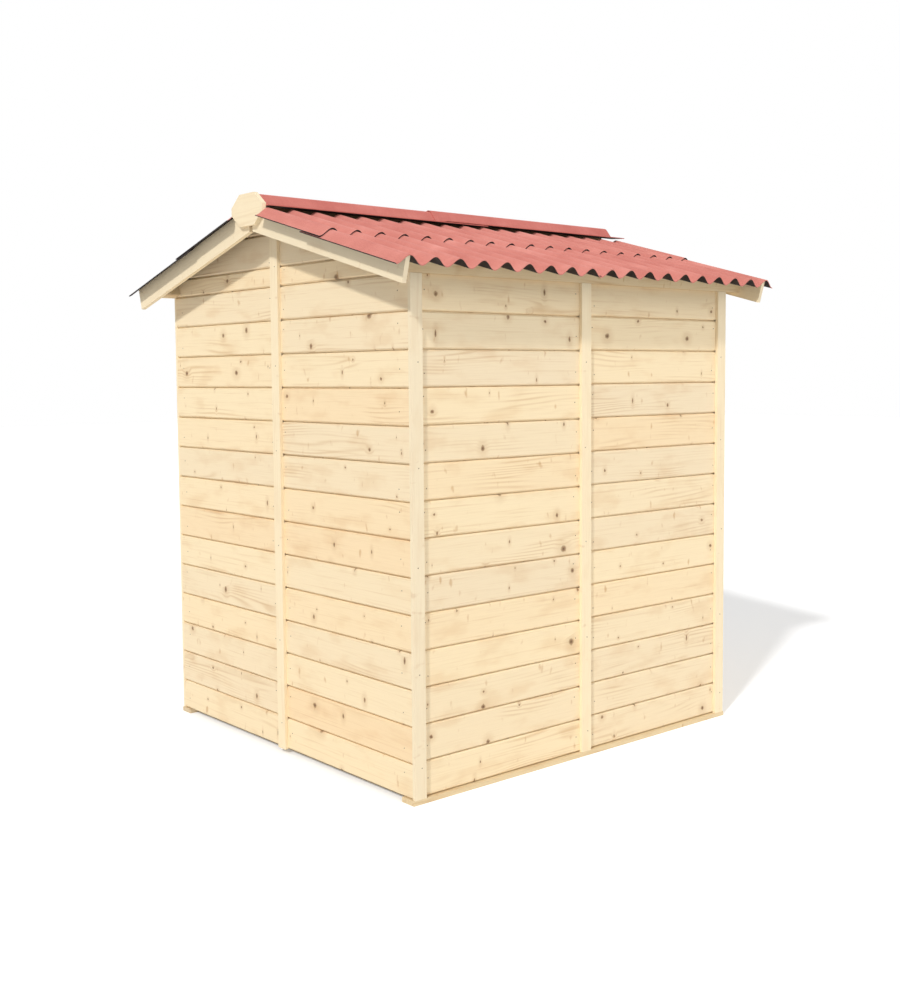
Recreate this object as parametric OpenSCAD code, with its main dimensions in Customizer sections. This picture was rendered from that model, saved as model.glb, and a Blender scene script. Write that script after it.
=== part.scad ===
// Wooden garden shed: boarded wall panels under a corrugated gable roof.
// Millimetres, +Z up. The origin is on the ground under the middle of the shed.
// The ridge runs along Y, the door is in the front gable (-Y).

/* [Walls] */
// Width across a gable, over the faces of the side boards
gable_width = 1450; // [1200:1:2400]
// Length along the ridge, over the faces of the gable boards
side_length = 1530; // [1300:1:2600]
// Height of the side walls, from the sole to the roof
side_height = 1620; // [1500:1:2000]
// Thickness of the wall boards
board_t = 16; // [12:0.5:22]
// Gap left between two panels that meet
panel_gap = 1; // [0.5:0.5:3]

/* [Base frame] */
// Height of the sole plates
sole_h = 16; // [10:1:45]
// Width of the sole plates
sole_w = 60; // [40:1:90]
// How far the front and rear soles stand back behind the gable boards
sole_setback = 32; // [0:1:45]
// How far the side soles stand out past the gable boards
sole_end = 5; // [0:1:30]

/* [Posts and strips] */
// Side of the square wall posts
post_w = 45; // [30:1:60]
// Width of the cover strips
strip_w = 46; // [30:1:70]
// Thickness of the cover strips
strip_t = 12; // [8:0.5:18]

/* [Door] */
// Width of the doorway
door_w = 700; // [600:1:800]
// Height of the wall over the doorway, at the doorway's edge
head_h = 125; // [100:1:250]
// Running gap round the door leaf
door_gap = 4; // [2:0.5:8]
// How far a door post reaches behind the leaf as a stop
door_stop = 15; // [10:1:25]
// Width of the door ledges
ledge_w = 95; // [70:1:120]
// Thickness of the door ledges
ledge_t = 20; // [16:1:28]
// Distance from the top and bottom of the leaf to the ledges
ledge_inset = 160; // [100:1:250]

/* [Hinges and turn button] */
// Length of a hinge strap on the leaf
strap_length = 220; // [150:1:300]
// Width of a hinge strap
strap_w = 32; // [25:1:45]
// Thickness of the hinge plates
strap_t = 3; // [2:0.5:5]
// Radius of a hinge knuckle
knuckle_r = 6; // [5:0.5:9]
// Length of the turn button
button_length = 110; // [80:1:150]
// Width of the turn button
button_w = 30; // [22:1:40]
// Thickness of the turn button
button_t = 16; // [12:1:22]
// Height of the turn button above the sole
button_z = 850; // [700:1:1100]

/* [Roof frame] */
// Slope of the roof in degrees
roof_slope = 15.4; // [12:0.1:24]
// Width of the purlins along the slope
purlin_w = 45; // [35:1:60]
// Thickness of the purlins
purlin_t = 38; // [22:1:50]
// Clearance beside the eaves purlins and the ridge board where the gable boards fit round them
notch_gap = 1; // [0.5:0.5:3]
// How far the eaves purlins stand out past the side boards
purlin_proud = 11; // [0:1:12]
// Thickness of the ridge board
ridge_board_t = 20; // [16:1:30]
// Thickness of the barge boards
barge_t = 16; // [12:0.5:22]
// How far the barge boards hang below the purlins
barge_drop = 17; // [8:1:30]
// How far the barge boards reach past the side boards, level
barge_reach = 101; // [80:1:150]

/* [Gable plates] */
// Width of the eight-sided plate over the point of a gable
plate_w = 196; // [160:1:240]
// Height of the plate
plate_h = 108; // [90:1:140]
// Length of the plate's top and bottom edges
plate_edge = 92; // [60:1:120]
// Length of the plate's two upright edges
plate_side = 26; // [10:1:50]
// How far the rear plate stands above the crown of the caps
plate_rise = -2; // [-10:1:10]
// How far the front plate sits lower than the rear one, to stay under the cap
plate_drop = 50; // [48:1:70]
// Thickness of the plate
plate_t = 16; // [12:1:28]

/* [Roof sheets] */
// Distance between two wave crests
wave_pitch = 95; // [90:0.5:100]
// Height of a wave over the sheet's thickness
wave_height = 31; // [26:0.5:42]
// Thickness of a sheet
sheet_t = 3; // [2:0.5:4]
// Whole waves in the width of one sheet
sheet_waves = 10; // [10:1:12]
// Waves that two sheets share at the side lap
lap_waves = 1; // [1:1:2]
// How far the sheets reach past the side boards at the eaves, level
eaves_reach = 112; // [105:1:170]
// Distance from the ridge to the lower edge of the upper sheets, level
upper_edge = 450; // [400:1:500]
// Length that an upper sheet lies over a lower sheet, level
head_lap = 106; // [70:1:150]
// Distance from the ridge to the top edge of the upper sheets, level
upper_start = 80; // [78:1:110]

/* [Ridge caps] */
// How far the front cap lies over the rear one
cap_lap = 200; // [120:1:300]
// Half the width of a cap, level
cap_reach = 118; // [108:1:160]
// Radius over the crown of a cap
cap_r = 24; // [18:1:36]
// Slope of the sides of a cap's hump in degrees
hump_slope = 52; // [40:1:65]
// Height of a cap's hump above its flanges
hump_h = 45; // [38:1:60]
// Slope of a cap's flanges in degrees
flange_slope = 4; // [2:0.5:15]
// Height of the crown above the purlin plane at the ridge
cap_rise = 108; // [104:0.5:130]
// How far the front cap stops short of the sheets' front edge
cap_inset = 15; // [0:1:30]

/* [Hidden] */
$fn = 64;
// Clearance where two pieces lie on each other, and overlap where two shapes of one piece join
eps = 0.3;
// Straight steps in one wave of a sheet, and in half the crown of a cap
sheet_steps = 12;
cap_steps = 6;
half_w = gable_width / 2;
half_l = side_length / 2;
wall_top = sole_h + side_height;
slope_tan = tan(roof_slope);
slope_cos = cos(roof_slope);
inner_w = half_w - board_t;
inner_l = half_l - board_t;
strip_face = half_w + strip_t;

// Height of the plane under the purlins at a distance from the ridge
function purlin_plane(x) = wall_top + (half_w - abs(x)) * slope_tan;

wave_a = (wave_height - sheet_t) / 2;
roof_waves = 2 * sheet_waves - lap_waves;
roof_half = roof_waves * wave_pitch / 2;
barge_mid = roof_half - wave_pitch / 2;
barge_in = barge_mid - barge_t / 2;
barge_out = barge_mid + barge_t / 2;
// Height of a wave's underside above its trough
function wave(u) = wave_a * (1 - cos(360 * (u - roof_half) / wave_pitch));
barge_top = purlin_t + wave(barge_out) - eps;

ridge_seat = purlin_plane(ridge_board_t / 2);
crown_z = purlin_plane(0) + cap_rise;
// Upper edges of the top, lap and eaves purlins, down the slope from the ridge
purlin_starts = [
  upper_start / slope_cos + purlin_w / 2,
  (upper_edge - head_lap / 2) / slope_cos - purlin_w / 2,
  (half_w + purlin_proud) / slope_cos - purlin_w
];
cap_front = roof_half - cap_inset;
cap_length = (barge_out + cap_front + cap_lap) / 2;
plate_z = crown_z + plate_rise - plate_h / 2;
door_h = purlin_plane(door_w / 2) - sole_h - head_h;
leaf_z = sole_h + door_gap;
leaf_h = door_h - 2 * door_gap;
leaf_w = door_w - 2 * door_gap;

wood = "#ecd9b0";
frame_wood = "#dcc59a";
red = "#b8564c";
steel = "#9a9ca0";

// A box between two corners
module block(low, high) {
  translate(low) cube(high - low);
}

// An outline in X and Z, from y0 to y1
module along_y(y0, y1) {
  translate([0, y1, 0]) rotate([90, 0, 0]) linear_extrude(y1 - y0) children();
}

// Left-hand pieces are drawn on the right and mirrored
module on_side(side) {
  if (side == "left") mirror([1, 0, 0]) children();
  else children();
}

// Rear pieces are drawn at +Y, front pieces are their mirror image
module at_end(end) {
  if (end == "front") mirror([0, 1, 0]) children();
  else children();
}

// Base frame

module side_sole(side) {
  color(frame_wood) on_side(side)
    block([strip_face - sole_w, -half_l - sole_end, 0], [strip_face, half_l + sole_end, sole_h]);
}

module gable_sole(end) {
  reach = strip_face - sole_w;
  color(frame_wood) at_end(end)
    block([-reach, half_l - sole_setback - sole_w, 0], [reach, half_l - sole_setback, sole_h]);
}

// Posts

module post(x, y, top) {
  block([x - post_w / 2, y - post_w / 2, sole_h], [x + post_w / 2, y + post_w / 2, top]);
}

module wall_posts() {
  px = inner_w - post_w / 2;
  py = inner_l - post_w / 2;
  dx = door_w / 2 - door_stop + post_w / 2;
  color(frame_wood) {
    for (x = [-px, px]) for (y = [-py, 0, py]) post(x, y, wall_top);
    post(0, py, ridge_seat - eps);
    for (x = [-dx, dx]) post(x, -py, purlin_plane(dx + post_w / 2));
  }
}

module door_head() {
  reach = door_w / 2 - door_stop;
  z0 = sole_h + door_h - door_stop;
  color(frame_wood) block([-reach, -inner_l, z0], [reach, -inner_l + post_w, z0 + post_w]);
}

// Walls

module side_panel(side, end) {
  color(wood) on_side(side) at_end(end) along_y(panel_gap / 2, inner_l)
    polygon([[inner_w, sole_h], [half_w, sole_h], [half_w, wall_top], [inner_w, purlin_plane(inner_w)]]);
}

// Outline of a gable from x0 to x1, up to the roof sheets, cut out for the eaves purlin and the ridge board
module gable_outline(x0, x1, z0) {
  rise = purlin_t / slope_cos - eps;
  seat = ridge_board_t / 2 + notch_gap;
  difference() {
    polygon([[x0, z0], [x1, z0], [x1, purlin_plane(x1) + rise], [x0, purlin_plane(x0) + rise]]);
    translate([0, purlin_plane(0)]) rotate(-roof_slope)
      translate([purlin_starts[2] - notch_gap, 0]) square([purlin_w + 2 * notch_gap, 2 * purlin_t]);
    translate([-seat, ridge_seat]) square([2 * seat, 2 * purlin_t]);
  }
}

module rear_gable_panel(side) {
  color(wood) on_side(side) along_y(inner_l, half_l) gable_outline(panel_gap / 2, half_w, sole_h);
}

module front_gable_panel(side) {
  color(wood) on_side(side) along_y(-half_l, -inner_l) gable_outline(door_w / 2, half_w, sole_h);
}

module front_gable_head_panel() {
  color(wood) along_y(-half_l, -inner_l) for (side = ["left", "right"])
    if (side == "left") mirror([1, 0]) gable_outline(0, door_w / 2 - panel_gap, sole_h + door_h);
    else gable_outline(0, door_w / 2 - panel_gap, sole_h + door_h);
}

// Door

// Two ledges and the brace between them, as seen from inside
module ledge_outline() {
  reach = leaf_w / 2 - door_stop - ledge_t;
  foot = reach - ledge_t;
  low = leaf_z + ledge_inset;
  high = leaf_z + leaf_h - ledge_inset;
  for (z = [low, high - ledge_w]) translate([-reach, z]) square([2 * reach, ledge_w]);
  polygon([[-foot, low + ledge_w / 2], [ledge_w - foot, low + ledge_w / 2],
    [foot, high - ledge_w / 2], [foot - ledge_w, high - ledge_w / 2]]);
}

module door_leaf() {
  color(wood) {
    block([-leaf_w / 2, -half_l, leaf_z], [leaf_w / 2, -inner_l, leaf_z + leaf_h]);
    along_y(-inner_l - eps, -inner_l + ledge_t) ledge_outline();
  }
}

// A strap hinge over the left edge of the leaf, with its plate on the wall panel
module door_hinge(z) {
  edge = -door_w / 2 + door_gap / 2;
  face = -half_l - strap_t;
  translate([edge, face, z]) {
    difference() {
      translate([-strap_w, 0, -strap_w]) cube([strap_w - knuckle_r, strap_t, 2 * strap_w]);
      for (dz = [-strap_w / 2, strap_w / 2])
        translate([-strap_w / 2 - knuckle_r / 2, -eps, dz]) rotate([-90, 0, 0])
          cylinder(r = strap_t, h = strap_t + 2 * eps);
    }
    translate([0, -knuckle_r + strap_t, -strap_w / 2]) cylinder(r = knuckle_r, h = strap_w);
    translate([-knuckle_r, strap_t - knuckle_r, -strap_w / 2]) cube([2 * knuckle_r, knuckle_r, strap_w]);
    translate([knuckle_r, strap_t, 0]) rotate([90, 0, 0]) linear_extrude(strap_t)
      polygon([[0, -strap_w / 2], [strap_length, -strap_w / 4],
        [strap_length, strap_w / 4], [0, strap_w / 2]]);
  }
}

module door_hinges() {
  ledge_mid = ledge_inset + ledge_w / 2;
  color(steel) for (z = [ledge_mid, leaf_h - ledge_mid]) door_hinge(leaf_z + z);
}

module door_turn_button() {
  x = door_w / 2 + button_w / 2;
  r = button_w / 2;
  color(wood) translate([x, -half_l, sole_h + button_z]) rotate([90, 0, 0]) linear_extrude(button_t) {
    translate([-button_length / 2, -r]) square([button_length, button_w]);
    for (dx = [-button_length / 2, button_length / 2]) translate([dx, 0]) circle(r);
  }
}

// Cover strips

strip_top = purlin_plane(strip_face);

module side_strip(side, y0, y1) {
  color(wood) on_side(side) along_y(y0, y1)
    polygon([[half_w, sole_h], [strip_face, sole_h], [strip_face, strip_top], [half_w, wall_top]]);
}

module corner_strip(side, end) {
  at_end(end) side_strip(side, half_l - strip_w, half_l);
}

module gable_strip(end, z0) {
  color(wood) at_end(end)
    block([-strip_w / 2, half_l, z0], [strip_w / 2, half_l + strip_t, purlin_plane(strip_w / 2) - eps]);
}

// Roof frame

// Puts its children on a slope of the roof.
// X runs down the slope from the ridge, Z stands on the purlin plane.
module on_slope(side) {
  on_side(side) translate([0, 0, purlin_plane(0)]) rotate([0, roof_slope, 0]) children();
}

// The eaves purlin carries the barge boards, the others run between the gable boards
module purlins(side) {
  ends = [inner_l, inner_l, barge_in];
  color(frame_wood) on_slope(side) for (i = [0:2])
    block([purlin_starts[i], -ends[i], 0], [purlin_starts[i] + purlin_w, ends[i], purlin_t]);
}

module ridge_board() {
  seat = ridge_board_t / 2;
  top = crown_z - cap_r + (cap_r - sheet_t) * cos(asin(seat / (cap_r - sheet_t)));
  color(frame_wood) block([-seat, -barge_out, ridge_seat], [seat, barge_out, top - eps]);
}

module barge(side, end) {
  length = (half_w + barge_reach) / slope_cos;
  inner = ridge_board_t / 2;
  color(wood) at_end(end) intersection() {
    on_slope(side) block([-wave_pitch, barge_in, -barge_drop], [length, barge_out, barge_top]);
    on_side(side) block([inner, barge_in, 0], [half_w + 2 * barge_reach, barge_out, 2 * wall_top]);
  }
}

module gable_plate(end) {
  z = end == "rear" ? plate_z : plate_z - plate_drop;
  color(wood) at_end(end) translate([0, barge_out + plate_t, z]) rotate([90, 0, 0])
    linear_extrude(plate_t)
      polygon([for (s = [-1, 1]) each [
        [-s * plate_edge / 2, s * plate_h / 2], [s * plate_edge / 2, s * plate_h / 2],
        [s * plate_w / 2, s * plate_side / 2], [s * plate_w / 2, -s * plate_side / 2]]]);
}

// Roof sheets

// Cross-section of a sheet over whole waves from u0 to u1
module wave_outline(u0, u1) {
  count = round((u1 - u0) / wave_pitch * sheet_steps);
  us = [for (i = [0:count]) u0 + (u1 - u0) * i / count];
  polygon([for (u = us) [u, wave(u)], for (i = [count:-1:0]) [us[i], wave(us[i]) + sheet_t]]);
}

// One sheet between two level distances from the ridge, lying on so many sheets below it
module sheet(side, end, from, to, layer) {
  width = sheet_waves * wave_pitch;
  u1 = end == "rear" ? roof_half : -roof_half + width;
  color(red) on_slope(side) translate([from / slope_cos, 0, purlin_t + layer * sheet_t])
    rotate([90, 0, 90]) linear_extrude((to - from) / slope_cos) wave_outline(u1 - width, u1);
}

module lower_sheet(side, end) {
  sheet(side, end, upper_edge - head_lap, half_w + eaves_reach, end == "rear" ? 0 : 1);
}

module upper_sheet(side, end) {
  sheet(side, end, upper_start, upper_edge, end == "rear" ? 2 : 3);
}

// Ridge caps

// Right half of a cap's face, a depth in from the top:
// the crown's arc, the foot of the hump and the flange's edge
hump_foot = cap_r * sin(hump_slope) + (hump_h - cap_r * (1 - cos(hump_slope))) / tan(hump_slope);
function inward(slope) = [-sin(slope), -cos(slope)];
function cap_face(depth) =
  let (side_in = inward(hump_slope), flange_in = inward(flange_slope))
  let (foot = [hump_foot, crown_z - hump_h])
  let (edge = [cap_reach, crown_z - hump_h - (cap_reach - hump_foot) * tan(flange_slope)])
  [
    for (i = [0:cap_steps])
      let (a = hump_slope * i / cap_steps)
      [(cap_r - depth) * sin(a), crown_z - cap_r + (cap_r - depth) * cos(a)],
    foot + depth * (side_in + flange_in) / (1 + side_in * flange_in),
    edge + depth * flange_in
  ];

function mirrored(points) = [for (i = [len(points) - 1:-1:1]) [-points[i][0], points[i][1]]];
function reversed(points) = [for (i = [len(points) - 1:-1:0]) points[i]];

// A cap from y0 to y1, lying on so many caps below it
module ridge_cap(y0, y1, layer) {
  outer = cap_face(0);
  inner = cap_face(sheet_t);
  color(red) along_y(y0, y1) translate([0, layer * sheet_t / cos(hump_slope)])
    polygon(concat(mirrored(outer), outer, reversed(concat(mirrored(inner), inner))));
}

module rear_ridge_cap() {
  ridge_cap(barge_out - cap_length, barge_out, 0);
}

module front_ridge_cap() {
  ridge_cap(-cap_front, cap_length - cap_front, 1);
}

gable_sole("front");  // front_sole
gable_sole("rear");  // rear_sole
side_sole("left");  // left_sole
side_sole("right");  // right_sole
wall_posts();
door_head();
side_panel("left", "front");  // left_wall_front_panel
side_panel("left", "rear");  // left_wall_rear_panel
side_panel("right", "front");  // right_wall_front_panel
side_panel("right", "rear");  // right_wall_rear_panel
rear_gable_panel("left");  // rear_gable_left_panel
rear_gable_panel("right");  // rear_gable_right_panel
front_gable_panel("left");  // front_gable_left_panel
front_gable_panel("right");  // front_gable_right_panel
front_gable_head_panel();
door_leaf();
door_hinges();
door_turn_button();
side_strip("left", -strip_w / 2, strip_w / 2);  // left_wall_strip
side_strip("right", -strip_w / 2, strip_w / 2);  // right_wall_strip
gable_strip("rear", sole_h);  // rear_gable_strip
gable_strip("front", sole_h + door_h);  // front_gable_strip
corner_strip("left", "front");  // front_left_corner_strip
corner_strip("right", "front");  // front_right_corner_strip
corner_strip("left", "rear");  // rear_left_corner_strip
corner_strip("right", "rear");  // rear_right_corner_strip
purlins("left");  // left_purlins
purlins("right");  // right_purlins
ridge_board();
barge("left", "front");  // front_left_barge
barge("right", "front");  // front_right_barge
barge("left", "rear");  // rear_left_barge
barge("right", "rear");  // rear_right_barge
gable_plate("front");  // front_gable_plate
gable_plate("rear");  // rear_gable_plate
lower_sheet("left", "rear");  // left_lower_rear_sheet
lower_sheet("left", "front");  // left_lower_front_sheet
upper_sheet("left", "rear");  // left_upper_rear_sheet
upper_sheet("left", "front");  // left_upper_front_sheet
lower_sheet("right", "rear");  // right_lower_rear_sheet
lower_sheet("right", "front");  // right_lower_front_sheet
upper_sheet("right", "rear");  // right_upper_rear_sheet
upper_sheet("right", "front");  // right_upper_front_sheet
rear_ridge_cap();
front_ridge_cap();
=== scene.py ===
import random
from math import cos, pi, radians, sin, tan

import bmesh
import bpy
from mathutils import Matrix, Vector

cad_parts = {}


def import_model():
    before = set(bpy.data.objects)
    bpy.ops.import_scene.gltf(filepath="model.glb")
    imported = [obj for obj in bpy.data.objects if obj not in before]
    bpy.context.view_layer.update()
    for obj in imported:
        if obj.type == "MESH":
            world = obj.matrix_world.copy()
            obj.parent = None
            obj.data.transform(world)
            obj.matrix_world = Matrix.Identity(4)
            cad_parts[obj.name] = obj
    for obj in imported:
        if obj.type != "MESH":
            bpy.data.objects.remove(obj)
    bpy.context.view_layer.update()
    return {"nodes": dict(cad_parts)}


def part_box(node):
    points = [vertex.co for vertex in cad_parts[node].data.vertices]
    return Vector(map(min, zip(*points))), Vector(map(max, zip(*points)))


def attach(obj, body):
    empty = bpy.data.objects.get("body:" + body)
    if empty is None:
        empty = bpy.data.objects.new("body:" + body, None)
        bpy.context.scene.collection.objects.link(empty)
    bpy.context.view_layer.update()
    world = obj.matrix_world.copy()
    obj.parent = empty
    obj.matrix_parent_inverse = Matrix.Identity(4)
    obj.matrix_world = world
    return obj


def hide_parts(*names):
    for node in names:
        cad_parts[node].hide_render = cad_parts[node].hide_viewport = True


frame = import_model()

X = Vector((1, 0, 0))
Y = Vector((0, 1, 0))
Z = Vector((0, 0, 1))

# Boards and their joints, all lengths in metres
BOARD_COVER = 0.116
THINNEST_BOARD = 0.004
JOINT_GAP = 0.0036
GROOVE = 0.0045
TONGUE_IN = 0.0105
TONGUE_T = 0.004
DOOR_BOARDS = 6
BOARDS_BELOW_HEAD_PANEL = 13

# How far a panel's joints are set down, so that they don't quite line up at the strips and corners
REAR_PANEL_DROP = 0.003
GABLE_DROP = 0.005

# Level of the joint under a gable's topmost piece
GABLE_POINT = 1.702

# Rounded edges
EASED_EDGE = 0.0016
HINGE_EDGE = 0.0006
EASE_STEPS = 2

# Each part's grain starts at its own place in the figure, up to this far off
GRAIN_SHIFT = 40

# Nails
NAIL_R = 0.0021
NAIL_TOP_R = NAIL_R * 0.7
NAIL_H = 0.0007
NAIL_SIDES = 8
NAIL_FROM_EDGE = 0.045
NAIL_FROM_JOINT = 0.03
NAIL_BELOW_ROOF = 0.03
NAIL_STRAY = 0.008
STRIP_NAIL_STEP = 0.32
STRIP_NAIL_STRAY = 0.02

# Door ledges: height of their middle from the leaf's ends, and for each of a board's two nails
# its share of the board's width and its rise from that middle
LEDGE_LEVEL = 0.2075
LEDGE_NAILS = ((0.3, 0.028), (0.7, -0.028))

# Roof sheets and caps. A cap's face whose normal points further down than this is its underside
ROOF_SLOPE = radians(15.4)
WAVE_PITCH = 0.095
WAVE_HEIGHT = 0.031
SHEET_T = 0.003
WAVE_STEPS = 24
SLOPE_STEPS = 6
FACING_DOWN = -0.2

# Tolerances and angles for mesh work
WELD = 1e-6
CUT = 1e-7
ON_FACE = 1e-5
SQUARE = 1e-3
FLAT = radians(0.5)
SHARP = radians(20)
SMOOTH = radians(38)

# Spruce knots: cells a metre along and across a board, radius in metres, how much a slit is narrowed,
# and where the body, heart and halo start and are full, in knot radii
KNOT_CELLS = (3.6, 12.0, 0.0)
KNOT_LEAST_R = 0.0031
KNOT_MORE_R = 0.0095
KNOT_WOBBLE = 0.007
KNOT_LEAST_SLIT = 0.9
KNOT_MORE_SLIT = 2.2
KNOT_ZONES = ((1.2, 0.6), (0.7, 0.0), (4.5, 0.8))

# Spruce growth rings: rings a metre across a board, and how many rings the drift and a knot's halo add
RINGS = 60.0
RING_DRIFT = 10.0
RING_SWING = 0.7
RING_SHARPNESS = 3.0

# Light levels, and each lamp's name, strength, spread in degrees and the way its rays go
WORLD_LIGHT = 0.40
FLOOR_GLOW = 0.22
FLOOR_REACH = 30
WHITE = (1, 1, 1, 1)
FLOOR_COLOUR = (0.9, 0.9, 0.9, 1)
LAMPS = (
    ("key", 2.1, 4, (0.46, -1.0, -0.88)),
    ("side", 0.95, 60, (1.0, 0.15, -0.35)),
    ("fill", 0.9, 60, (-0.75, 0.85, -0.5)),
)

# The camera, as fitted to the photograph's 900 by 1000 frame
IMAGE_H = 1000
SENSOR_H = 36
FOCAL_PX = 1227
CENTRE_RISE_PX = 35
CAMERA_AT = Vector((-3.630, 3.070, 1.321))
CAMERA_YAW = radians(319.67)
CAMERA_PITCH = radians(-4.12)
CAMERA_ROLL = radians(-0.45)

# A Mix node's sockets for colours
MIX_A = 6
MIX_B = 7
MIX_RESULT = 2


# Node helpers

class Nodes:
    """Builds a material's node tree with short calls."""

    def __init__(self, name):
        self.material = bpy.data.materials.new(name)
        self.material.use_nodes = True
        self.tree = self.material.node_tree
        self.shader = self.tree.nodes["Principled BSDF"]

    def add(self, kind, **settings):
        node = self.tree.nodes.new(kind)
        for key, value in settings.items():
            setattr(node, key, value)
        return node

    def put(self, socket, value):
        """Links an output to a socket, or sets the socket to a plain value."""
        if hasattr(value, "is_output"):
            self.tree.links.new(value, socket)
        else:
            socket.default_value = value

    def surface(self, values):
        """Links or sets the shader's sockets by name."""
        for name, value in values.items():
            self.put(self.shader.inputs[name], value)

    def math(self, operation, a, b=0.0, c=0.0):
        node = self.add("ShaderNodeMath", operation=operation)
        for socket, value in zip(node.inputs, (a, b, c)):
            self.put(socket, value)
        return node.outputs[0]

    def vector(self, operation, a, b=(0, 0, 0)):
        node = self.add("ShaderNodeVectorMath", operation=operation)
        self.put(node.inputs[0], a)
        self.put(node.inputs[1], b)
        return node.outputs["Value" if operation == "LENGTH" else "Vector"]

    def attribute(self, name, output):
        return self.add("ShaderNodeAttribute", attribute_name=name).outputs[output]

    def object_place(self):
        return self.add("ShaderNodeTexCoord").outputs["Object"]

    def noise(self, coords, scale, detail=2.0, rough=0.5):
        node = self.add("ShaderNodeTexNoise")
        self.put(node.inputs["Vector"], coords)
        node.inputs["Scale"].default_value = scale
        node.inputs["Detail"].default_value = detail
        node.inputs["Roughness"].default_value = rough
        return node.outputs["Fac"]

    def stretched_noise(self, coords, scale, detail, rough=0.5):
        """Noise with a scale of its own along each axis."""
        return self.noise(self.vector("MULTIPLY", coords, scale), 1.0, detail, rough)

    def voronoi(self, coords, scale, dimensions="3D"):
        """Cells round scattered points: each cell's three random numbers, and its point."""
        node = self.add("ShaderNodeTexVoronoi", voronoi_dimensions=dimensions)
        self.put(node.inputs["Vector"], coords)
        node.inputs["Scale"].default_value = scale
        numbers = self.add("ShaderNodeSeparateColor")
        self.put(numbers.inputs[0], node.outputs["Color"])
        return numbers.outputs, node.outputs["Position"]

    def spread(self, value, start, end, at_start=0.0, at_end=1.0):
        """Goes smoothly from at_start to at_end while value goes from start to end."""
        node = self.add("ShaderNodeMapRange", interpolation_type="SMOOTHSTEP")
        for socket, part in zip(node.inputs, (value, start, end, at_start, at_end)):
            self.put(socket, part)
        return node.outputs[0]

    def mix(self, factor, a, b, blend="MIX"):
        node = self.add("ShaderNodeMix", data_type="RGBA", blend_type=blend)
        self.put(node.inputs["Factor"], factor)
        self.put(node.inputs[MIX_A], a)
        self.put(node.inputs[MIX_B], b)
        return node.outputs[MIX_RESULT]

    def dye(self, factor, colour, tint):
        """Multiplies a colour by a tint, as far as factor says."""
        return self.mix(factor, colour, self.mix(1.0, colour, tint, "MULTIPLY"))

    def ramp(self, factor, *stops):
        node = self.add("ShaderNodeValToRGB")
        self.put(node.inputs[0], factor)
        elements = node.color_ramp.elements
        while len(elements) < len(stops):
            elements.new(0.5)
        for element, (place, colour) in zip(elements, stops):
            element.position = place
            element.color = colour
        return node.outputs[0]

    def bump(self, height, strength, distance):
        node = self.add("ShaderNodeBump")
        node.inputs["Strength"].default_value = strength
        node.inputs["Distance"].default_value = distance
        self.put(node.inputs["Height"], height)
        self.put(self.shader.inputs["Normal"], node.outputs[0])


def rgb(red, green, blue):
    """A colour given in display values from 0 to 255."""
    def linear(value):
        share = value / 255
        return share / 12.92 if share <= 0.04045 else ((share + 0.055) / 1.055) ** 2.4
    return (linear(red), linear(green), linear(blue), 1.0)


# Materials

# Tints of the marks on spruce, and the browns of its fibre and knots
RING_TINT = rgb(206, 172, 128)
STREAK_TINT = rgb(214, 184, 146)
STAIN_TINT = rgb(230, 208, 186)
SMEAR_TINT = rgb(206, 172, 132)
FIBRE_BROWN = rgb(176, 136, 88)
HALO_BROWN = rgb(198, 160, 116)
KNOT_BROWN = rgb(136, 98, 64)
HEART_BROWN = rgb(70, 48, 34)

# How strongly the browns cover the wood, and how far the rings and knots stand up from its face
HALO_COVER = 0.3
KNOT_COVER = 0.75
RING_RELIEF = 0.3
KNOT_RELIEF = -0.5

# Dark specks in the red sheets
SPECK_RED = rgb(166, 92, 86)


def knots_of(n, grain, share):
    """Body, heart and halo of knots: one to a cell, in a share of the cells, some cut as upright slits."""
    cells = n.vector("MULTIPLY", grain, KNOT_CELLS)
    (shown, size, slit), point = n.voronoi(cells, scale=1.0, dimensions="2D")
    present = n.math("LESS_THAN", shown, share)
    radius = n.math("MULTIPLY_ADD", n.math("POWER", size, 2.0), KNOT_MORE_R, KNOT_LEAST_R)
    narrowed = n.math("MULTIPLY_ADD", n.math("POWER", slit, 3.0), KNOT_MORE_SLIT, KNOT_LEAST_SLIT)
    narrow = n.add("ShaderNodeCombineXYZ")
    n.put(narrow.inputs[0], narrowed)
    narrow.inputs[1].default_value = 1.0
    away = n.vector("SUBTRACT", cells, point)
    away = n.vector("MULTIPLY", away, (1 / KNOT_CELLS[0], 1 / KNOT_CELLS[1], 0))
    away = n.vector("MULTIPLY", away, narrow.outputs[0])
    wobble = n.noise(grain, scale=130, detail=2.0)
    wobble = n.math("MULTIPLY_ADD", wobble, KNOT_WOBBLE, -KNOT_WOBBLE / 2)
    radii_away = n.math("DIVIDE", n.math("ADD", n.vector("LENGTH", away), wobble), radius)
    return [n.math("MULTIPLY", n.spread(radii_away, start, end), present) for start, end in KNOT_ZONES]


def rings_of(n, grain, halo):
    """Lines of the growth rings, which drift across a board and swing round its knots."""
    drift = n.stretched_noise(grain, scale=(1.1, 10.0, 10.0), detail=1.5)
    split = n.add("ShaderNodeSeparateXYZ")
    n.put(split.inputs[0], grain)
    across = split.outputs[1]
    count = n.math("MULTIPLY_ADD", across, RINGS, n.math("MULTIPLY", drift, RING_DRIFT))
    count = n.math("ADD", count, n.math("MULTIPLY", halo, RING_SWING))
    line = n.math("MULTIPLY_ADD", n.math("SINE", n.math("MULTIPLY", count, 2 * pi)), 0.5, 0.5)
    return n.math("POWER", line, RING_SHARPNESS)


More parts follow.
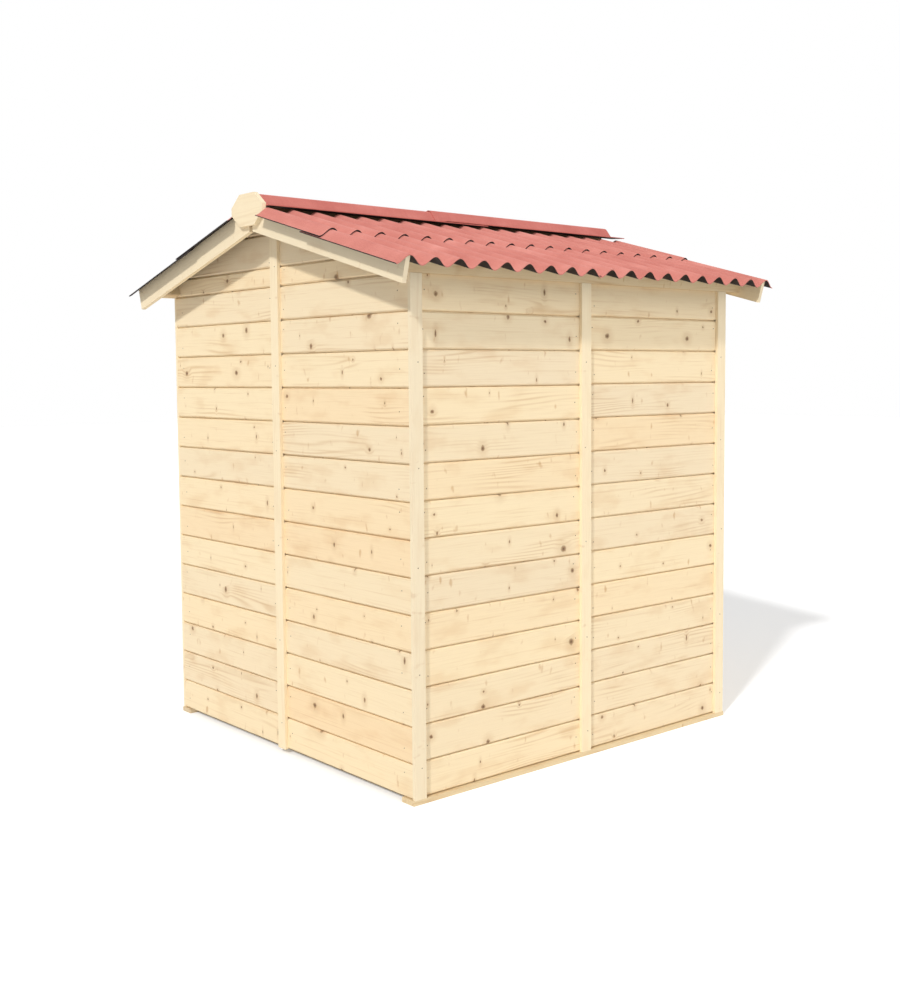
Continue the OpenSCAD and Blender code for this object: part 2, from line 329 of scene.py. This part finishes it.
def spruce(name, pale, warm, grey, knots, figure, rough_sawn=0.0):
    """Softwood. A mesh's "grain" says where along, across and into a board, its "tone" the board's tint."""
    n = Nodes(name)
    grain = n.attribute("grain", "Vector")
    tone = n.attribute("tone", "Fac")
    knot, heart, halo = knots_of(n, grain, knots)
    ring = rings_of(n, grain, halo)
    fibre = n.stretched_noise(grain, scale=(9.0, 520.0, 520.0), detail=3.0, rough=0.6)
    streak = n.stretched_noise(grain, scale=(3.0, 150.0, 150.0), detail=4.0, rough=0.6)
    patch = n.stretched_noise(grain, scale=(2.0, 9.0, 9.0), detail=2.0)
    stain = n.stretched_noise(grain, scale=(6.0, 16.0, 16.0), detail=3.0)
    smear = n.stretched_noise(grain, scale=(40.0, 19.0, 19.0), detail=1.5)

    # The rings show in a few patches, elsewhere the face is nearly plain
    bold = n.spread(patch, start=0.52, end=0.72, at_start=0.04, at_end=0.8)
    bold = n.math("MULTIPLY", bold, figure)
    streaked = n.spread(streak, start=0.54, end=0.76, at_end=0.6 * figure)
    stained = n.spread(stain, start=0.5, end=0.72, at_end=0.6 * figure)
    smeared = n.spread(smear, start=0.67, end=0.81, at_end=1.1 * figure)
    sawn = n.spread(fibre, start=0.55, end=0.25, at_end=0.08 + rough_sawn)

    colour = n.ramp(tone, (0.0, grey), (0.5, pale), (1.0, warm))
    colour = n.dye(n.math("MULTIPLY", ring, bold), colour, RING_TINT)
    colour = n.dye(streaked, colour, STREAK_TINT)
    colour = n.dye(stained, colour, STAIN_TINT)
    colour = n.dye(smeared, colour, SMEAR_TINT)
    colour = n.mix(sawn, colour, FIBRE_BROWN)
    colour = n.mix(n.math("MULTIPLY", halo, HALO_COVER), colour, HALO_BROWN)
    colour = n.mix(n.math("MULTIPLY", knot, KNOT_COVER), colour, KNOT_BROWN)
    colour = n.mix(n.math("MULTIPLY", heart, KNOT_COVER), colour, HEART_BROWN)
    roughness = n.spread(fibre, start=0.2, end=0.8, at_start=0.74, at_end=0.58)
    n.surface({"Base Color": colour, "Roughness": roughness, "Specular IOR Level": 0.3})
    relief = n.math("MULTIPLY_ADD", ring, RING_RELIEF, n.math("MULTIPLY", knot, KNOT_RELIEF))
    n.bump(n.math("ADD", fibre, relief), strength=0.2 + rough_sawn, distance=0.0006)
    return n.material


def bitumen_red(name, deep, body, faded):
    """Matte red face of a bituminous fibre sheet, faded in patches, with a fine fibrous tooth."""
    n = Nodes(name)
    place = n.object_place()
    cloud = n.noise(place, scale=5.0, detail=4.0, rough=0.6)
    speck = n.noise(place, scale=420.0, detail=2.0, rough=0.6)
    run = n.stretched_noise(place, scale=(3.0, 60.0, 3.0), detail=3.0, rough=0.6)
    colour = n.ramp(cloud, (0.3, deep), (0.55, body), (0.75, faded))
    colour = n.mix(n.spread(run, start=0.5, end=0.75, at_end=0.4), colour, deep)
    colour = n.mix(n.spread(speck, start=0.5, end=0.72, at_end=0.4), colour, faded)
    colour = n.mix(n.spread(speck, start=0.46, end=0.3, at_end=0.35), colour, SPECK_RED)
    roughness = n.spread(cloud, start=0.3, end=0.7, at_start=0.9, at_end=0.74)
    n.surface({"Base Color": colour, "Roughness": roughness, "Specular IOR Level": 0.25})
    n.bump(speck, strength=0.35, distance=0.0008)
    return n.material


def bitumen_dark_and_shade(name, black, brown, dusty):
    """Dark underside and cut edges of a sheet, dusty in patches. Partly the raw bitumen's colour, partly
    painted shade: kept near black so that wave hollows and the gap under a cap look shaded.
    """
    n = Nodes(name)
    place = n.object_place()
    speck = n.noise(place, scale=300.0, detail=3.0, rough=0.6)
    cloud = n.noise(place, scale=9.0, detail=3.0)
    colour = n.ramp(speck, (0.3, black), (0.7, brown))
    colour = n.mix(n.spread(cloud, start=0.45, end=0.75, at_end=0.5), colour, dusty)
    roughness = n.spread(cloud, start=0.3, end=0.7, at_start=0.95, at_end=0.82)
    n.surface({"Base Color": colour, "Roughness": roughness})
    n.bump(speck, strength=0.3, distance=0.0008)
    return n.material


def zinc(name, dark, bright, worn):
    """Dull galvanised steel with a faint spangle."""
    n = Nodes(name)
    place = n.object_place()
    spangle = n.voronoi(place, scale=160.0)[0]
    cloud = n.noise(place, scale=40.0, detail=3.0)
    colour = n.ramp(spangle[0], (0.0, dark), (1.0, bright))
    colour = n.mix(n.spread(cloud, start=0.5, end=0.75, at_end=0.4), colour, worn)
    roughness = n.spread(cloud, start=0.3, end=0.7, at_start=0.42, at_end=0.58)
    n.surface({"Base Color": colour, "Metallic": 0.9, "Roughness": roughness})
    return n.material


WALL = spruce("wall_spruce", rgb(241, 221, 183), rgb(238, 212, 172), rgb(234, 215, 182),
              knots=0.78, figure=0.5)
TRIM = spruce("trim_spruce", rgb(242, 224, 189), rgb(239, 219, 183), rgb(235, 219, 188),
              knots=0.1, figure=0.25)
TIMBER = spruce("frame_spruce", rgb(224, 203, 164), rgb(218, 192, 150), rgb(208, 188, 156),
                knots=0.4, figure=0.6, rough_sawn=0.1)
# Painted shade: the ridge board's spruce is painted far darker than the frame timber, standing in for the
# shade under the ridge caps
RIDGE_PAINTED_SHADE = spruce("ridge_spruce_painted_shade", rgb(128, 106, 78), rgb(122, 98, 70), rgb(110, 94, 74),
               knots=0.4, figure=0.6, rough_sawn=0.15)
SHEET_RED = bitumen_red("sheet_red", rgb(197, 119, 108), rgb(209, 132, 120), rgb(221, 147, 135))
CAP_RED = bitumen_red("cap_red", rgb(186, 103, 94), rgb(198, 115, 105), rgb(210, 129, 118))
# Sheet and cap undersides and dark edges: partly the raw bitumen's colour, partly painted shade, near black
# for the wave hollows and the gap under the caps
UNDERSIDE_AND_PAINTED_SHADE = bitumen_dark_and_shade("roof_underside_and_painted_shade", rgb(20, 16, 16), rgb(44, 34, 32), rgb(60, 42, 38))
ZINC = zinc("zinc", rgb(150, 153, 156), rgb(186, 188, 190), rgb(128, 126, 122))
NAIL_STEEL = zinc("nail_steel", rgb(120, 108, 92), rgb(150, 138, 120), rgb(98, 78, 58))


# Mesh helpers

def solid(node):
    """A CAD node's mesh as a bmesh of flat faces."""
    bm = bmesh.new()
    bm.from_mesh(frame["nodes"][node].data)
    bmesh.ops.remove_doubles(bm, verts=bm.verts[:], dist=WELD)
    bmesh.ops.dissolve_limit(bm, angle_limit=FLAT, verts=bm.verts[:], edges=bm.edges[:])
    return bm


def keep_below(bm, point, normal):
    """Cuts bm by a plane, drops what the normal points at and closes the cut."""
    everything = bm.verts[:] + bm.edges[:] + bm.faces[:]
    bmesh.ops.bisect_plane(bm, geom=everything, plane_co=point, plane_no=normal,
                           clear_outer=True, dist=CUT)
    rim = [edge for edge in bm.edges if edge.is_boundary]
    if rim:
        bmesh.ops.holes_fill(bm, edges=rim, sides=0)


def slab(bm, axis, low, high):
    """The part of bm that lies between two values along an axis."""
    part = bm.copy()
    keep_below(part, axis * low, -axis)
    keep_below(part, axis * high, axis)
    return part


def ease(bm, width):
    """Rounds the sharp edges a little."""
    sharp = [edge for edge in bm.edges if edge.is_manifold and edge.calc_face_angle() > SHARP]
    bmesh.ops.bevel(bm, geom=sharp, offset=width, segments=EASE_STEPS, profile=0.5,
                    affect="EDGES", clamp_overlap=True)


def islands(bm):
    """The separate solids of a bmesh, each as its own bmesh."""
    left = set(bm.verts)
    found = []
    while left:
        group = set()
        front = [next(vert for vert in bm.verts if vert in left)]
        while front:
            vert = front.pop()
            if vert not in group:
                group.add(vert)
                front.extend(edge.other_vert(vert) for edge in vert.link_edges)
        left -= group
        part = bmesh.new()
        made = {vert: part.verts.new(vert.co) for vert in bm.verts if vert in group}
        for face in bm.faces:
            if face.verts[0] in group:
                part.faces.new([made[vert] for vert in face.verts])
        found.append(part)
    return found


def mesh_from(bm, name):
    """Turns a bmesh into a mesh and frees it."""
    mesh = bpy.data.meshes.new(name)
    bm.to_mesh(mesh)
    bm.free()
    return mesh


def show(mesh, name, materials, slot, *nodes):
    """Puts a finished mesh in the scene, riding on the shed."""
    for material in materials:
        mesh.materials.append(material)
    mesh.shade_smooth()
    mesh.set_sharp_from_angle(angle=SMOOTH)
    piece = bpy.data.objects.new(name, mesh)
    bpy.context.scene.collection.objects.link(piece)
    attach(piece, "root")
    if nodes:
        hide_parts(*nodes)


class Piece:
    """Collects wooden parts with their grain and tone into one object."""

    def __init__(self, name, material):
        self.name = name
        self.material = material
        self.verts = []
        self.faces = []
        self.grain = []
        self.tone = []
        self.draw = random.Random(name)

    def add(self, bm, along, across):
        """Takes in a part and frees it. Its grain runs the way along, its face's width the way across."""
        start = len(self.verts)
        depth = along.cross(across)
        shift = Vector([self.draw.uniform(0, GRAIN_SHIFT) for _ in range(3)])
        flip = self.draw.choice((-1, 1))
        tone = self.draw.random()
        bm.verts.index_update()
        for vert in bm.verts:
            self.verts.append(vert.co.copy())
            place = Vector((vert.co.dot(along) * flip, vert.co.dot(across), vert.co.dot(depth)))
            self.grain.append(place + shift)
            self.tone.append(tone)
        for face in bm.faces:
            self.faces.append([start + vert.index for vert in face.verts])
        bm.free()

    def finish(self, slot, *nodes):
        mesh = bpy.data.meshes.new(self.name)
        mesh.from_pydata(self.verts, [], self.faces)
        grain = mesh.attributes.new("grain", "FLOAT_VECTOR", "POINT")
        grain.data.foreach_set("vector", [part for value in self.grain for part in value])
        tone = mesh.attributes.new("tone", "FLOAT", "POINT")
        tone.data.foreach_set("value", self.tone)
        show(mesh, self.name, [self.material], slot, *nodes)


# Wall boards, cut from each panel at the boards' joints

def groove(bm, out, face, axis):
    """Chamfers a board's edges that lie on its outer face and square to the axis across it."""
    def on_face(edge):
        return all(abs(vert.co.dot(out) - face) < ON_FACE for vert in edge.verts)

    def long_edge(edge):
        way = (edge.verts[0].co - edge.verts[1].co).normalized()
        return abs(way.dot(axis)) < SQUARE

    edges = [edge for edge in bm.edges if on_face(edge) and long_edge(edge)]
    bmesh.ops.bevel(bm, geom=edges, offset=GROOVE, segments=1, affect="EDGES", clamp_overlap=True)


def board_joints(low, high, first):
    """Levels of a panel's bottom, joints and top: a joint each cover above first, and one at GABLE_POINT."""
    joints = [low]
    level = first + BOARD_COVER
    while level < high - THINNEST_BOARD:
        joints.append(level)
        level = GABLE_POINT if level < GABLE_POINT < level + BOARD_COVER else level + BOARD_COVER
    return joints + [high]


def boarded(node, out, first=None, drop=0.0):
    """Replaces a wall panel with its boards. out is the way its face looks."""
    low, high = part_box(node)
    face = max(low.dot(out), high.dot(out))
    along = Z.cross(out)
    bm = solid(node)
    piece = Piece(node + "_boards", WALL)
    joints = board_joints(low.z, high.z, (low.z if first is None else first) - drop)
    for bottom, top in zip(joints, joints[1:]):
        board = slab(bm, Z, bottom + JOINT_GAP / 2, top - JOINT_GAP / 2)
        if board.faces:
            groove(board, out, face, Z)
            piece.add(board, along, Z)
    for level in joints[1:-1]:
        filling = slab(bm, Z, level - JOINT_GAP / 2, level + JOINT_GAP / 2)
        tongue = slab(filling, out, face - TONGUE_IN - TONGUE_T, face - TONGUE_IN)
        piece.add(tongue, along, Z)
        filling.free()
    bm.free()
    piece.finish("wall_boards", node)


for side, out in (("left", -X), ("right", X)):
    boarded(f"{side}_wall_front_panel", out)
    boarded(f"{side}_wall_rear_panel", out, drop=REAR_PANEL_DROP)
    boarded(f"rear_gable_{side}_panel", Y, drop=GABLE_DROP)
    boarded(f"front_gable_{side}_panel", -Y, drop=GABLE_DROP)
sole_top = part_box("left_sole")[1].z
head_first = sole_top + BOARDS_BELOW_HEAD_PANEL * BOARD_COVER
boarded("front_gable_head_panel", -Y, first=head_first, drop=GABLE_DROP)


# Door leaf of upright boards on two ledges and a brace

def door():
    low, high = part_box("door_leaf")
    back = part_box("front_gable_left_panel")[1].y
    bm = solid("door_leaf")
    leaf = slab(bm, Y, low.y, back)
    piece = Piece("door_leaf_boards", WALL)
    width = (high.x - low.x) / DOOR_BOARDS
    for i in range(DOOR_BOARDS):
        left = low.x + i * width
        right = low.x + (i + 1) * width
        board = slab(leaf, X, left + JOINT_GAP / 2, right - JOINT_GAP / 2)
        groove(board, -Y, -low.y, X)
        piece.add(board, Z, X)
    ledges = slab(bm, Y, back, high.y)
    piece.add(ledges, X, Z)
    leaf.free()
    bm.free()
    piece.finish("wall_boards", "door_leaf")


door()


# Strips, barge boards, plates and frame timber keep their CAD shape, with eased edges and grain

def dressed(node, material, slot, along, across):
    piece = Piece(node + "_timber", material)
    bm = solid(node)
    for part in islands(bm):
        ease(part, EASED_EDGE)
        piece.add(part, along, across)
    bm.free()
    piece.finish(slot, node)


def timber(node, along, across):
    dressed(node, TIMBER, "frame_timber", along, across)


def trim(node, along, across):
    dressed(node, TRIM, "trim_boards", along, across)


for side, sign in (("left", -1), ("right", 1)):
    down = Vector((sign * cos(ROOF_SLOPE), 0, -sin(ROOF_SLOPE)))
    up = Y.cross(down) * sign
    timber(f"{side}_sole", Y, X)
    timber(f"{side}_purlins", Y, down)
    trim(f"{side}_wall_strip", Z, Y)
    for end in ("front", "rear"):
        trim(f"{end}_{side}_corner_strip", Z, Y)
        trim(f"{end}_{side}_barge", down, up)
for end in ("front", "rear"):
    timber(f"{end}_sole", X, Y)
    trim(f"{end}_gable_strip", Z, X)
    trim(f"{end}_gable_plate", X, Z)
timber("wall_posts", Z, X)
timber("door_head", X, Z)
# The ridge board gets the darkened spruce, painted shade under the caps
dressed("ridge_board", RIDGE_PAINTED_SHADE, "frame_timber", Y, Z)
trim("door_turn_button", X, Z)


# Corrugated sheets

def outward(mesh):
    """Turns all faces of a closed mesh outwards."""
    bm = bmesh.new()
    bm.from_mesh(mesh)
    bmesh.ops.recalc_face_normals(bm, faces=bm.faces[:])
    bm.to_mesh(mesh)
    bm.free()


def sheet(node, sign):
    """A sheet in the CAD node's place, with finer waves. sign is -1 on the left slope."""
    low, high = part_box(node)
    near, far = sorted((low.x * sign, high.x * sign))
    level = cos(ROOF_SLOPE)
    fall = sin(ROOF_SLOPE)
    head = high.z - WAVE_HEIGHT * level
    start = near * level - head * fall
    lift = near * fall + head * level
    end = (far - WAVE_HEIGHT * fall) * level - low.z * fall
    half_wave = (WAVE_HEIGHT - SHEET_T) / 2
    count = round((high.y - low.y) / WAVE_PITCH) * WAVE_STEPS

    def point(i, j, above):
        y = low.y + (high.y - low.y) * i / count
        run = start + (end - start) * j / SLOPE_STEPS
        rise = lift + half_wave * (1 - cos(2 * pi * i / WAVE_STEPS)) + above
        return Vector((sign * (run * level + rise * fall), y, rise * level - run * fall))

    # Points lie in rows down the slope, first those of the underside, then those of the face
    row = SLOPE_STEPS + 1
    verts = [point(i, j, above) for above in (0, SHEET_T) for i in range(count + 1) for j in range(row)]
    face_start = (count + 1) * row

    def grid(base):
        firsts = [base + i * row + j for i in range(count) for j in range(SLOPE_STEPS)]
        return [[first, first + row, first + row + 1, first + 1] for first in firsts]

    # The rim goes along the ridge end, down the last row, back along the eaves end and up the first row
    rim = [i * row for i in range(count + 1)]
    rim += [count * row + j for j in range(1, row)]
    rim += [i * row + row - 1 for i in range(count - 1, -1, -1)]
    rim += list(range(row - 2, 0, -1))
    rim_pairs = list(zip(rim, rim[1:] + rim[:1]))
    edges = [[a, b, face_start + b, face_start + a] for a, b in rim_pairs]
    face = grid(face_start)
    underside = grid(0)
    mesh = bpy.data.meshes.new(node + "_waves")
    mesh.from_pydata(verts, [], face + underside + edges)

    # The edge along the eaves is red like the face, the others are as dark as the underside: raw cut edges,
    # which at an upper sheet's lower edge are also painted shade for the gap at the lap
    at_eaves = "lower" in node
    shades = [0 if at_eaves and a % row == b % row == SLOPE_STEPS else 1 for a, b in rim_pairs]
    mesh.polygons.foreach_set("material_index", [0] * len(face) + [1] * len(underside) + shades)
    outward(mesh)
    show(mesh, node + "_waves", [SHEET_RED, UNDERSIDE_AND_PAINTED_SHADE], "roof_sheet", node)


for side, sign in (("left", -1), ("right", 1)):
    for course in ("lower", "upper"):
        for end in ("rear", "front"):
            sheet(f"{side}_{course}_{end}_sheet", sign)


# Ridge caps keep their CAD shape: red above and at the edges, dark below, the near-black underside partly
# painted shade for the gap under the cap

def ridge_cap(node):
    bm = solid(node)
    for face in bm.faces:
        face.material_index = 1 if face.normal.z < FACING_DOWN else 0
    mesh = mesh_from(bm, node + "_bent")
    show(mesh, node + "_bent", [CAP_RED, UNDERSIDE_AND_PAINTED_SHADE], "roof_sheet", node)


ridge_cap("rear_ridge_cap")
ridge_cap("front_ridge_cap")


# Hinges

def hinges():
    bm = solid("door_hinges")
    ease(bm, HINGE_EDGE)
    mesh = mesh_from(bm, "door_hinges_zinc")
    show(mesh, "door_hinges_zinc", [ZINC], "hinge_steel", "door_hinges")


hinges()


# Nails at both ends of each wall board, down the cover strips and in the door's ledges

def nail(bm, place, out):
    turn = Z.rotation_difference(out).to_matrix().to_4x4()
    spot = Matrix.Translation(place + out * NAIL_H / 2) @ turn
    bmesh.ops.create_cone(bm, cap_ends=True, segments=NAIL_SIDES, radius1=NAIL_R, radius2=NAIL_TOP_R,
                          depth=NAIL_H, matrix=spot)


def wall_face(node, out):
    """The way along a wall, a node's two ends that way, and where its face lies."""
    low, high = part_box(node)
    along = Z.cross(out)
    return along, sorted((low.dot(along), high.dot(along))), max(low.dot(out), high.dot(out))


def below_roof(place):
    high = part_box("right_wall_strip")[1]
    return place.z < high.z - NAIL_BELOW_ROOF + (high.x - abs(place.x)) * tan(ROOF_SLOPE)


def panel_nails(bm, node, out, draw):
    along, (start, end), face = wall_face(node, out)
    low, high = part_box(node)
    level = low.z
    while level + BOARD_COVER < high.z:
        for run in (start + NAIL_FROM_EDGE, end - NAIL_FROM_EDGE):
            z = level + draw.uniform(NAIL_FROM_JOINT, BOARD_COVER - NAIL_FROM_JOINT)
            place = along * (run + draw.uniform(-NAIL_STRAY, NAIL_STRAY)) + out * face + Z * z
            if below_roof(place):
                nail(bm, place, out)
        level += BOARD_COVER


def strip_nails(bm, node, out, draw):
    along, (start, end), face = wall_face(node, out)
    low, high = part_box(node)
    level = low.z + STRIP_NAIL_STEP / 4
    while level < high.z - STRIP_NAIL_STEP / 8:
        middle = (start + end) / 2 + draw.uniform(-NAIL_STRAY, NAIL_STRAY)
        z = level + draw.uniform(-STRIP_NAIL_STRAY, STRIP_NAIL_STRAY)
        nail(bm, along * middle + out * face + Z * z, out)
        level += STRIP_NAIL_STEP


def door_nails(bm):
    """Two nails, set on a slant, through each door board into either ledge."""
    low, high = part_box("door_leaf")
    width = (high.x - low.x) / DOOR_BOARDS
    for level in (low.z + LEDGE_LEVEL, high.z - LEDGE_LEVEL):
        for i in range(DOOR_BOARDS):
            for share, rise in LEDGE_NAILS:
                nail(bm, Vector((low.x + (i + share) * width, low.y, level + rise)), -Y)


def nails():
    bm = bmesh.new()
    draw = random.Random("nails")
    for side, out in (("left", -X), ("right", X)):
        panel_nails(bm, f"{side}_wall_front_panel", out, draw)
        panel_nails(bm, f"{side}_wall_rear_panel", out, draw)
        panel_nails(bm, f"rear_gable_{side}_panel", Y, draw)
        panel_nails(bm, f"front_gable_{side}_panel", -Y, draw)
        for strip in (f"{side}_wall_strip", f"front_{side}_corner_strip", f"rear_{side}_corner_strip"):
            strip_nails(bm, strip, out, draw)
    strip_nails(bm, "rear_gable_strip", Y, draw)
    door_nails(bm)
    show(mesh_from(bm, "board_nails"), "board_nails", [NAIL_STEEL], "hinge_steel")


nails()


# Floor, light and camera

def seen_directly(tree):
    """1 for rays from the camera, a reflection or a view through glass, 0 for the light given off."""
    path = tree.nodes.new("ShaderNodeLightPath")
    result = path.outputs["Is Camera Ray"]
    for name in ("Is Glossy Ray", "Is Transmission Ray"):
        either = tree.nodes.new("ShaderNodeMath")
        either.operation = "MAXIMUM"
        tree.links.new(result, either.inputs[0])
        tree.links.new(path.outputs[name], either.inputs[1])
        result = either.outputs[0]
    return result


def between(tree, factor, low, high):
    """low where factor is 0, high where it is 1."""
    node = tree.nodes.new("ShaderNodeMapRange")
    tree.links.new(factor, node.inputs[0])
    node.inputs["To Min"].default_value = low
    node.inputs["To Max"].default_value = high
    return node.outputs[0]


def floor():
    n = Nodes("floor")
    glow = between(n.tree, seen_directly(n.tree), 0.0, FLOOR_GLOW)
    n.surface({"Base Color": FLOOR_COLOUR, "Roughness": 0.9, "Specular IOR Level": 0.0,
               "Emission Color": WHITE, "Emission Strength": glow})
    corners = [(x * FLOOR_REACH, y * FLOOR_REACH, 0) for x, y in ((-1, -1), (1, -1), (1, 1), (-1, 1))]
    mesh = bpy.data.meshes.new("floor")
    mesh.from_pydata(corners, [], [(0, 1, 2, 3)])
    mesh.materials.append(n.material)
    piece = bpy.data.objects.new("floor", mesh)
    bpy.context.scene.collection.objects.link(piece)


def world():
    studio = bpy.data.worlds.new("studio")
    studio.use_nodes = True
    tree = studio.node_tree
    background = tree.nodes["Background"]
    background.inputs["Color"].default_value = WHITE
    strength = between(tree, seen_directly(tree), WORLD_LIGHT, 1.0)
    tree.links.new(strength, background.inputs["Strength"])
    bpy.context.scene.world = studio


def sun(name, strength, spread, direction):
    lamp = bpy.data.lights.new(name, "SUN")
    lamp.energy = strength
    lamp.angle = radians(spread)
    thing = bpy.data.objects.new(name, lamp)
    thing.rotation_euler = Vector(direction).to_track_quat("-Z", "Y").to_euler()
    bpy.context.scene.collection.objects.link(thing)


def camera():
    data = bpy.data.cameras.new("camera")
    data.sensor_fit = "VERTICAL"
    data.sensor_height = SENSOR_H
    data.lens = data.sensor_height * FOCAL_PX / IMAGE_H
    data.shift_y = -CENTRE_RISE_PX / IMAGE_H
    thing = bpy.data.objects.new("camera", data)
    level = cos(CAMERA_PITCH)
    forward = Vector((level * cos(CAMERA_YAW), level * sin(CAMERA_YAW), sin(CAMERA_PITCH)))
    right = forward.cross(Z).normalized()
    up = right.cross(forward)
    tilted_right = right * cos(CAMERA_ROLL) + up * sin(CAMERA_ROLL)
    tilted_up = up * cos(CAMERA_ROLL) - right * sin(CAMERA_ROLL)
    turn = Matrix((tilted_right, tilted_up, -forward)).transposed().to_4x4()
    thing.matrix_world = Matrix.Translation(CAMERA_AT) @ turn
    bpy.context.scene.collection.objects.link(thing)
    bpy.context.scene.camera = thing


floor()
world()
for lamp in LAMPS:
    sun(*lamp)
camera()
bpy.context.scene.view_settings.view_transform = "Standard"
